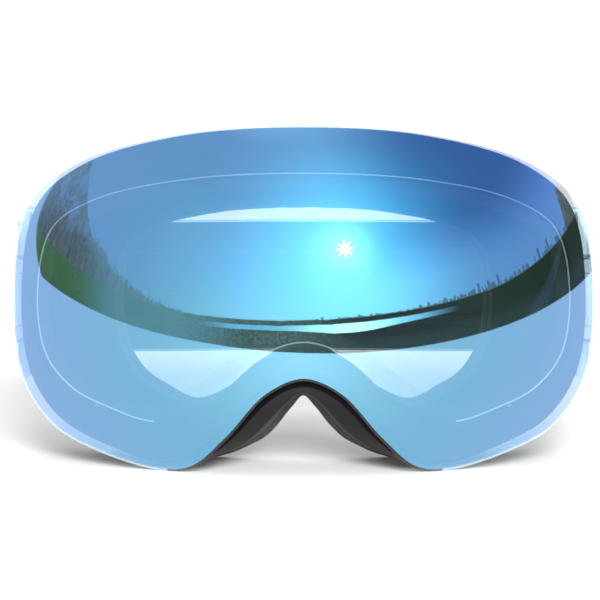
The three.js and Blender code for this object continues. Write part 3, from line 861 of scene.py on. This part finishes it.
def frame_pieces():
    wall = join(chassis_wall(), seat_ring())
    wall.name = "goggle_frame"
    finished(wall, "root", "frame_plastic", "frame_chassis")
    linings = [
        ("vent_lining_top", "vent_foam_top", 9.6 / 24, 14.4 / 24),
        ("vent_lining_lower_left", "vent_foam_lower_left", 3.4 / 24, 5.9 / 24),
        ("vent_lining_lower_right", "vent_foam_lower_right", 18.1 / 24, 20.6 / 24),
    ]
    for name, node, low, high in linings:
        lining = vent_lining(name, low, high)
        finished(lining, "root", "vent_foam", node)
    plate = foam_ring("foam_backing_plate", "carrier", FOAM_CARRIER, 0.4, 0.5, 0.5, 0, 0)
    finished(plate, "root", "carrier_plastic", "foam_carrier")
    layers = [
        ("face_foam_base", "base_foam", "foam_base", "face_foam", FOAM_BASE, 0.2, 0.7, 0.7, 0, 0.25),
        ("face_foam_middle", "mid_foam", "foam_mid", "face_foam", FOAM_MID, 0.2, 0.7, 0.7, 0, 0.25),
        ("face_foam_fleece", "fleece", "foam_face", "fleece", FOAM_FACE, 0, 2.0, 0.5, 0.5, 0.3),
    ]
    for name, look, node, slot, layer, inset, rear_round, front_round, crown, unevenness in layers:
        pad = foam_ring(name, look, layer, inset, rear_round, front_round, crown, unevenness)
        finished(pad, "root", slot, node)


# ---- the sides -------------------------------------------------------------------------


def side_hardware(side):
    bracket = refined(f"hinge_bracket_{side}", looks["ice"], 0.35)
    finished(bracket, "root", "outrigger_plastic", f"hinge_bracket_{side}")
    for i in (1, 2):
        screw = refined(f"bracket_screw_{side}_{i}", looks["steel"], 0.12)
        finished(screw, "root", "steel", f"bracket_screw_{side}_{i}")
    pin = refined(f"hinge_pin_{side}", looks["steel"], 0.2)
    finished(pin, "root", "steel", f"hinge_pin_{side}")
    arm = refined(f"outrigger_{side}", looks["ice"], 0.6)
    finished(arm, f"outrigger_{side}", "outrigger_plastic", f"outrigger_{side}")
    slider = refined(f"strap_slider_{side}", looks["ice"], 0.5)
    finished(slider, f"slider_{side}", "slider_plastic", f"strap_slider_{side}")


def arc(centre, radii, low, high, steps):
    """Points along an arc of an oval, between two angles in degrees."""
    points = []
    for step in range(steps + 1):
        angle = math.radians(low + (high - low) * step / steps)
        point = (centre[0] + radii[0] * math.cos(angle), centre[1] + radii[1] * math.sin(angle))
        points.append(point)
    return points


def strap_path():
    """The left half of the strap in plan, from its tail round the outrigger's bar to the back."""
    legs = 2.45
    fold_y = BAR_FRONT + 1.3
    path = [(SIDE_X - LAYER, y) for y in np.linspace(145, 99, 24)]
    spread = [(t, 0.75 * (1 - math.cos(math.pi * t))) for t in (0, 0.25, 0.5, 0.75, 1)]
    path += [(SIDE_X - LAYER - s, 99 - 9 * t) for t, s in spread[1:]]
    path += [(SIDE_X + a, b) for a, b in arc((0, fold_y), (legs, legs), 180, 360, 16)]
    path += [(SIDE_X + legs - s, 90 + 8 * t) for t, s in spread[:-1]]
    path += [(SIDE_X + LAYER, y) for y in np.linspace(98.5, STRAP_BEND - 1, 24)]
    path += arc((0, STRAP_BEND), (SIDE_X + LAYER, STRAP_DEPTH + LAYER), 0, 90, 56)
    return np.array(path)


def strap_height(y):
    back = np.clip((y - STRAP_BEND) / STRAP_DEPTH, 0, 1)
    return STRAP["z"] - STRAP["droop"] * back * back * (3 - 2 * back)


def normals_of(path):
    along = np.gradient(path, axis=0)
    along /= np.linalg.norm(along, axis=1)[:, None]
    return np.column_stack([along[:, 1], -along[:, 0]])


def webbing(name, path, height, thickness, lift, mirror, face_looks):
    """A flat woven band that follows a path in plan, with round edges and a weave map."""
    out = normals_of(path)
    half, edge = height / 2, thickness / 2
    section = [(edge, half - edge - k * (height - thickness) / 14) for k in range(15)]
    section += [(edge * math.cos(a), -half + edge - edge * math.sin(a)) for a in np.radians([45, 90, 135])]
    section += [(-edge, -half + edge + k * (height - thickness) / 14) for k in range(15)]
    section += [(edge * math.cos(a), half - edge + edge * math.sin(a)) for a in np.radians([135, 90, 45])]
    offset, up = np.array(section).T
    plan = path[:, None, :] + out[:, None, :] * offset[None, :, None]
    centre = strap_height(path[:, 1]) + lift
    z = centre[:, None] + up[None, :]
    x = plan[:, :, 0] * (-1 if mirror else 1)
    points = np.stack([x, plan[:, :, 1], z], axis=2)
    band = bar_along(name, points, [looks[look] for look in face_looks], 60)
    steps = np.linalg.norm(np.diff(path, axis=0), axis=1)
    length = np.concatenate([[0], np.cumsum(steps)])
    weave = band.data.uv_layers.new(name="weave")
    columns = len(section)
    inside = set(range(18, 33))
    for polygon in band.data.polygons:
        spots = [divmod(band.data.loops[k].vertex_index, columns) for k in polygon.loop_indices]
        for k, (row, column) in zip(polygon.loop_indices, spots):
            weave.data[k].uv = (length[row], up[column])
        columns_used = {column for _, column in spots}
        polygon.material_index = 1 if columns_used <= inside and len(face_looks) > 1 else 0
    return band


def blended(obj):
    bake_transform(obj)


def strap(side):
    mirror = side == "right"
    path = strap_path()
    size = (STRAP["height"], STRAP["thickness"])
    band = webbing(f"strap_{side}", path, *size, 0, mirror, ("strap", "lining"))
    nodes = [f"strap_end_{side}", f"strap_side_{side}", f"strap_return_{side}"]
    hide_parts(*nodes, "strap_loop")
    blended(band)
    for row in (-1, 0, 1):
        inside = (SIDE_X - 0.45, STRAP_DEPTH - 0.45)
        line = np.array(arc((0, STRAP_BEND), inside, 26, 90, 60))
        grip = webbing(f"grip_line_{side}_{row + 2}", line, 3, 0.6, row * 12, mirror, ("silicone",))
        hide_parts(f"strap_grip_{row + 2}")
        blended(grip)


def stitching(side):
    """Rows of thread that sew the strap's fold shut behind the outrigger's bar."""
    sign = 1 if side == "left" else -1
    points, faces = [], []
    for row_y in STITCH_ROWS:
        for k in range(21):
            z = STRAP["z"] - 20 + 2 * k
            for face in (1, -1):
                centre = np.array([sign * (SIDE_X + face * (LAYER + 0.86)), row_y, z])
                first = len(points)
                for end, reach in ((-1, 0.62), (-0.6, 0.75), (0.6, 0.75), (1, 0.62)):
                    for corner in range(6):
                        angle = math.radians(60 * corner)
                        swell = 0.24 * (1 if abs(end) < 1 else 0.45)
                        offset = [swell * math.cos(angle), swell * math.sin(angle), end * reach]
                        points.append(centre + offset)
                for level in range(3):
                    for corner in range(6):
                        a = first + level * 6 + corner
                        b = first + level * 6 + (corner + 1) % 6
                        faces.append((a, b, b + 6, a + 6))
                faces.append(tuple(first + corner for corner in range(6)))
                faces.append(tuple(first + 18 + corner for corner in range(6)))
    thread = make(f"fold_stitching_{side}", points, faces, [looks["thread"]])
    finished(thread, f"outrigger_{side}", "strap_webbing")


def carried_over():
    """Gives the CAD nodes that show as they are their finish."""
    for name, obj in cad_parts.items():
        if "_magnet_" in name:
            obj.data.materials.clear()
            obj.data.materials.append(looks["magnet"])


frame_pieces()
for side in ("left", "right"):
    side_hardware(side)
    strap(side)
    stitching(side)
carried_over()


# ---- surroundings, light and camera ----------------------------------------------------


LANDSCAPE_PITCH = math.radians(17.5)  # how far the mirrored landscape tips down in front
HORIZON = 0.146  # its height there, as the sine of its elevation
SUN_BEARING = math.radians(15.4)
SHEEN = (0.0, -0.953, -0.304)  # where the white studio is brightest
SUN_HEIGHT = math.radians(30.75)


def sun_star(nodes, turned):
    """The sun as a small disc with eight short rays, and how near each direction is to it."""
    across = (math.cos(SUN_BEARING), -math.sin(SUN_BEARING), 0)
    flat = (math.sin(SUN_BEARING), math.cos(SUN_BEARING), 0)
    sun = tuple(math.cos(SUN_HEIGHT) * c for c in flat[:2]) + (math.sin(SUN_HEIGHT),)
    above = tuple(-math.sin(SUN_HEIGHT) * c for c in flat[:2]) + (math.cos(SUN_HEIGHT),)
    near, a, b = (
        nodes.add("ShaderNodeVectorMath", {0: turned, 1: axis}, operation="DOT_PRODUCT").outputs["Value"]
        for axis in (sun, across, above)
    )
    far = nodes.math("SQRT", nodes.scaled(a, a, nodes.times(b, b)))
    turn = nodes.times(nodes.math("ARCTAN2", b, a), 4.0)
    ray = nodes.math("ABSOLUTE", nodes.math("COSINE", turn))
    reach = nodes.scaled(nodes.math("POWER", ray, 5.0), 0.030, 0.024)
    star = nodes.step(nodes.minus(reach, far), -0.003, 0.007)
    return nodes.math("MAXIMUM", near, 0.0), nodes.times(star, nodes.step(near, 0.5, 0.6))


def landscape_sky(nodes, turned, right, above):
    sky = nodes.ramp(
        above,
        [
            (0.0, (1.30, 1.44, 1.50, 1)),
            (0.25, (0.94, 1.12, 1.52, 1)),
            (0.60, (0.72, 0.73, 1.02, 1)),
            (0.76, (0.84, 0.78, 1.04, 1)),
            (0.83, (1.25, 1.12, 1.32, 1)),
        ],
    )
    shade = nodes.times(nodes.step(right, 0.35, 1.0), 0.6)
    sky = nodes.mix(shade, sky, (0.20, 0.33, 0.72, 1))
    zenith = nodes.times(nodes.step(right, 0.0, 0.55), nodes.step(above, 0.10, 0.42))
    sky = nodes.mix(nodes.times(zenith, 0.8), sky, (0.10, 0.20, 0.50, 1))
    haze = nodes.times(nodes.step(right, -0.5, -0.95), 0.8)
    sky = nodes.mix(haze, sky, (0.78, 0.70, 1.05, 1))
    near, star = sun_star(nodes, turned)
    for sharpness, glow in ((9.0, (0.4, 1.25, 1.4, 1)), (110.0, (1.5, 1.5, 1.0, 1))):
        halo = nodes.mix(nodes.math("POWER", near, sharpness), grey(0), glow)
        sky = nodes.mix(1.0, sky, halo, "ADD")
    return nodes.mix(star, sky, grey(16))


def landscape_trees(nodes, turned, bearing, above):
    """Bare trees on both sides, taller outwards: how much they hide and their colour."""
    left = nodes.times(bearing, -1.0)
    along = nodes.add("ShaderNodeCombineXYZ", {"X": bearing, "Y": 0.0, "Z": 0.0}).outputs[0]
    slope = nodes.add("ShaderNodeMapRange", {0: left, 1: 0.60, 2: 1.36}).outputs[0]
    slope = nodes.math("POWER", slope, 2.2)
    crowns = nodes.minus(nodes.noise(9.0, 8.0, along, roughness=0.75), 0.5)
    top = nodes.scaled(slope, 0.17, 0.008)
    top = nodes.scaled(nodes.times(crowns, nodes.step(left, 0.3, 1.0)), 0.13, top)
    tall = nodes.scaled(above, -1.36, nodes.minus(left, 1.216))
    top = nodes.plus(top, nodes.step(tall, -0.04, 0.06))
    top = nodes.scaled(nodes.step(bearing, 1.76, 1.84), 0.14, top)
    twigs = nodes.minus(nodes.noise(38.0, 8.0, turned, roughness=0.8), 0.5)
    side = nodes.math("MAXIMUM", nodes.step(left, 0.5, 0.9), nodes.step(bearing, 1.7, 1.8))
    top = nodes.scaled(nodes.times(twigs, side), 0.16, top)
    inside = nodes.step(nodes.minus(top, above), -0.004, 0.02)
    depth = nodes.step(nodes.minus(top, above), 0.0, 0.12)
    gaps = nodes.step(nodes.noise(16.0, 8.0, turned, roughness=0.8), 0.42, 0.58)
    airy = nodes.times(nodes.minus(1.0, gaps), nodes.step(above, 0.06, 0.22))
    share = nodes.times(inside, nodes.scaled(airy, -0.6, 0.92))
    stretch = nodes.add("ShaderNodeMapping", {"Vector": turned, "Scale": (1.0, 1.0, 0.3)}).outputs[0]
    bark = nodes.noise(42.0, 10.0, stretch, roughness=0.85)
    stops = [(0.38, (0.12, 0.09, 0.05, 1)), (0.50, (0.46, 0.27, 0.12, 1)), (0.66, (1.0, 0.62, 0.36, 1))]
    shaded = nodes.times(depth, 0.3)
    return share, nodes.mix(shaded, nodes.ramp(bark, stops), (0.16, 0.13, 0.09, 1))


def landscape_town(nodes, bearing, right, above):
    """A low skyline of narrow blocks on the right: where it stands against the sky."""
    heights = []
    for width, most in ((0.017, 0.046), (0.0075, 0.026)):
        block = nodes.math("SNAP", bearing, width)
        plot = nodes.add("ShaderNodeTexWhiteNoise", {"W": block}, noise_dimensions="1D").outputs["Value"]
        heights.append(nodes.times(nodes.math("POWER", plot, 3.0), most))
    tall = nodes.math("MAXIMUM", *heights)
    tall = nodes.times(tall, nodes.scaled(nodes.step(right, 0.5, 0.95), 0.8, 0.45))
    tall = nodes.times(tall, nodes.step(right, -0.05, 0.15))
    return nodes.step(nodes.minus(tall, above), -0.001, 0.002)


def landscape_ground(nodes, turned, bearing, right, above):
    """Rough grass with a river below the horizon, and a path across a mown verge on the right."""
    drop = nodes.times(above, -1.0)
    grass = nodes.noise(60.0, 10.0, turned, roughness=0.85)
    patches = nodes.noise(9.0, 4.0, turned)
    ground = nodes.ramp(grass, [(0.40, (0.12, 0.10, 0.08, 1)), (0.62, (0.56, 0.46, 0.33, 1))])
    meadow = nodes.times(nodes.step(patches, 0.45, 0.65), 0.4)
    ground = nodes.mix(meadow, ground, (0.30, 0.30, 0.16, 1))
    verge = nodes.math("MAXIMUM", nodes.step(right, 0.66, 0.90), nodes.step(right, -0.55, -0.7))
    verge = nodes.times(verge, nodes.scaled(grass, 0.5, 0.4))
    ground = nodes.mix(verge, ground, (0.26, 0.40, 0.07, 1))
    side = nodes.math("ABSOLUTE", nodes.scaled(drop, 1.57, nodes.minus(bearing, 1.71)))
    width = nodes.scaled(drop, 0.42, 0.008)
    path = nodes.step(nodes.minus(width, side), -0.004, 0.006)
    dusk = nodes.times(nodes.step(right, -0.15, 0.35), 0.85)
    ground = nodes.mix(dusk, ground, (0.03, 0.028, 0.02, 1))
    stone = nodes.mix(grass, (0.12, 0.10, 0.10, 1), (0.30, 0.24, 0.24, 1))
    ground = nodes.mix(nodes.times(path, 0.5), ground, stone)
    glitter = nodes.math("COSINE", nodes.minus(bearing, SUN_BEARING))
    glitter = nodes.math("POWER", nodes.math("MAXIMUM", glitter, 0.0), 30.0)
    near_bank = nodes.scaled(glitter, 0.026, 0.050)
    near_side = nodes.step(drop, nodes.plus(near_bank, 0.006), near_bank)
    water = nodes.times(nodes.step(drop, 0.024, 0.030), near_side)
    reach = nodes.times(nodes.step(right, -0.60, -0.35), nodes.step(right, 0.80, 0.6))
    river = nodes.mix(glitter, (0.75, 1.10, 1.30, 1), (3.6, 3.6, 2.6, 1))
    ground = nodes.mix(nodes.times(water, reach), ground, river)
    shade = nodes.times(nodes.step(drop, 0.09, 0.17), 0.4)
    return nodes.mix(shade, ground, (0.20, 0.19, 0.15, 1))


def landscape_bounds(nodes, bearing, ahead, up):
    """Where the landscape ends: a lower edge that falls to the right and rounded ends."""
    floor_line = nodes.scaled(nodes.math("MAXIMUM", bearing, -0.5), -0.0315, -0.030)
    above_floor = nodes.step(nodes.minus(up, floor_line), -0.003, 0.003)
    low = nodes.math("MAXIMUM", nodes.minus(0.2, up), 0.0)
    left_end = nodes.scaled(nodes.times(low, low), 3.8, -0.262)
    left_side = nodes.step(nodes.minus(ahead, left_end), -0.012, 0.012)
    right_side = nodes.step(ahead, -0.352, -0.328)
    on_right = nodes.step(bearing, -0.01, 0.01)
    side = nodes.plus(left_side, nodes.times(on_right, nodes.minus(right_side, left_side)))
    return nodes.times(above_floor, side)


def mirrored_landscape(nodes, direction):
    """A bright riverside under a blue sky, as the lens mirrors it: its colour and its share.

    Below its lower edge and beside the goggles it gives way to a white studio."""
    right, depth, height = nodes.split(direction)
    sine, cosine = math.sin(LANDSCAPE_PITCH), math.cos(LANDSCAPE_PITCH)
    up = nodes.minus(nodes.times(height, cosine), nodes.times(depth, sine))
    ahead = nodes.times(depth, -cosine)
    ahead = nodes.minus(ahead, nodes.times(height, sine))
    turned = nodes.add("ShaderNodeCombineXYZ", {"X": right, "Y": ahead, "Z": up}).outputs[0]
    bearing = nodes.math("ARCTAN2", right, ahead)
    swell = nodes.math("COSINE", nodes.minus(bearing, SUN_BEARING))
    swell = nodes.scaled(nodes.math("MAXIMUM", swell, 0.62), 0.08, HORIZON - 0.07)
    above = nodes.minus(up, swell)
    sky = landscape_sky(nodes, turned, right, above)
    town = nodes.times(landscape_town(nodes, bearing, right, above), 0.8)
    sky = nodes.mix(town, sky, (0.30, 0.30, 0.34, 1))
    hidden, bark = landscape_trees(nodes, turned, bearing, above)
    sky = nodes.mix(hidden, sky, bark)
    ground = landscape_ground(nodes, turned, bearing, right, above)
    scene = nodes.mix(nodes.step(above, -0.003, 0.003), ground, sky)
    left = nodes.times(right, -1.0)
    mist = nodes.times(nodes.step(left, 0.25, 0.7), nodes.step(left, 1.0, 0.9))
    mist = nodes.times(mist, 0.5)
    scene = nodes.mix(mist, scene, (0.80, 0.92, 0.95, 1))
    return scene, landscape_bounds(nodes, bearing, ahead, up)


def surroundings():
    """White for the camera, soft studio light for matt surfaces, the landscape for gloss."""
    world = bpy.data.worlds.new("studio")
    bpy.context.scene.world = world
    world.use_nodes = True
    world.node_tree.nodes.clear()
    nodes = Nodes(world.node_tree)
    direction = nodes.add("ShaderNodeTexCoord").outputs["Generated"]
    _, _, height = nodes.split(direction)
    studio = nodes.mix(nodes.step(height, -0.3, 0.9), grey(0.44), grey(0.70))
    landscape, share = mirrored_landscape(nodes, direction)
    towards = nodes.add("ShaderNodeVectorMath", {0: direction, 1: SHEEN}, operation="DOT_PRODUCT")
    sheen = nodes.math("POWER", nodes.math("MAXIMUM", towards.outputs["Value"], 0.0), 14.0)
    white = nodes.mix(sheen, (1.36, 1.27, 1.29, 1), (1.86, 1.78, 1.80, 1))
    glossy = nodes.mix(share, white, landscape)
    path = nodes.add("ShaderNodeLightPath").outputs
    colour = nodes.mix(path["Is Glossy Ray"], studio, glossy)
    colour = nodes.mix(path["Is Camera Ray"], colour, grey(1.0))
    background = nodes.add("ShaderNodeBackground", {"Color": colour, "Strength": 1.0})
    output = nodes.add("ShaderNodeOutputWorld")
    world.node_tree.links.new(background.outputs[0], output.inputs["Surface"])


def floor():
    material, nodes, shader = new_material("studio_floor")
    cloud = nodes.noise(3.0, 2.0, nodes.place())
    colour = nodes.mix(cloud, grey(0.90), grey(0.94))
    set_shader(nodes, shader, Base_Color=colour, Roughness=0.6, Specular_IOR_Level=0.1)
    # Painted light: the floor glows little round the goggles and more further away, so it is painted darker
    # near them and brighter beyond.
    away = nodes.add("ShaderNodeVectorMath", {0: nodes.place()}, operation="LENGTH").outputs["Value"]
    glow = nodes.scaled(nodes.step(away, 0.18, 0.60), 0.60, 0.04)
    shader.inputs["Emission Color"].default_value = (1, 1, 1, 1)
    nodes.give(shader.inputs["Emission Strength"], glow)
    half, bend, rise, top = 4.0, 2.2, 2.5, 5  # in metres; the sheet bends up behind the goggles
    turns = np.radians(np.linspace(6, 90, 15))
    profile = [(-half, 0), (bend, 0)]
    profile += [(bend + rise * math.sin(a), rise * (1 - math.cos(a))) for a in turns]
    profile.append((bend + rise, top))
    points = [(x, y, z) for y, z in profile for x in (-half, half)]
    faces = [(2 * i, 2 * i + 1, 2 * i + 3, 2 * i + 2) for i in range(len(profile) - 1)]
    mesh = bpy.data.meshes.new("studio_floor")
    mesh.from_pydata(points, [], faces)
    mesh.materials.append(material)
    mesh.shade_smooth()
    sheet = bpy.data.objects.new("studio_floor", mesh)
    sheet.visible_glossy = False
    bpy.context.scene.collection.objects.link(sheet)


def soft_box(name, place, aim, size, power):
    light = bpy.data.lights.new(name, "AREA")
    light.shape = "SQUARE"
    light.size = size
    light.energy = power
    lamp = bpy.data.objects.new(name, light)
    lamp.location = place
    lamp.rotation_euler = (Vector(aim) - Vector(place)).to_track_quat("-Z", "Y").to_euler()
    lamp.visible_glossy = False
    bpy.context.scene.collection.objects.link(lamp)


def camera():
    distance = 1.1
    elevation = math.radians(4.0)
    aim = Vector((-0.0011, ORIGIN[1] + 0.030, ORIGIN[2] - 0.0003))
    lens = bpy.data.cameras.new("front")
    lens.lens = 217
    lens.sensor_width = 36
    lens.clip_end = 50
    view = bpy.data.objects.new("front", lens)
    view.location = aim + distance * Vector((0, -math.cos(elevation), math.sin(elevation)))
    view.rotation_euler = (aim - view.location).to_track_quat("-Z", "Y").to_euler()
    bpy.context.scene.collection.objects.link(view)
    bpy.context.scene.camera = view


surroundings()
floor()
soft_box("key", (0.12, -1.4, 0.52), (0, 0, 0.02), 0.4, 40)
camera()
bpy.context.scene.view_settings.view_transform = "Standard"
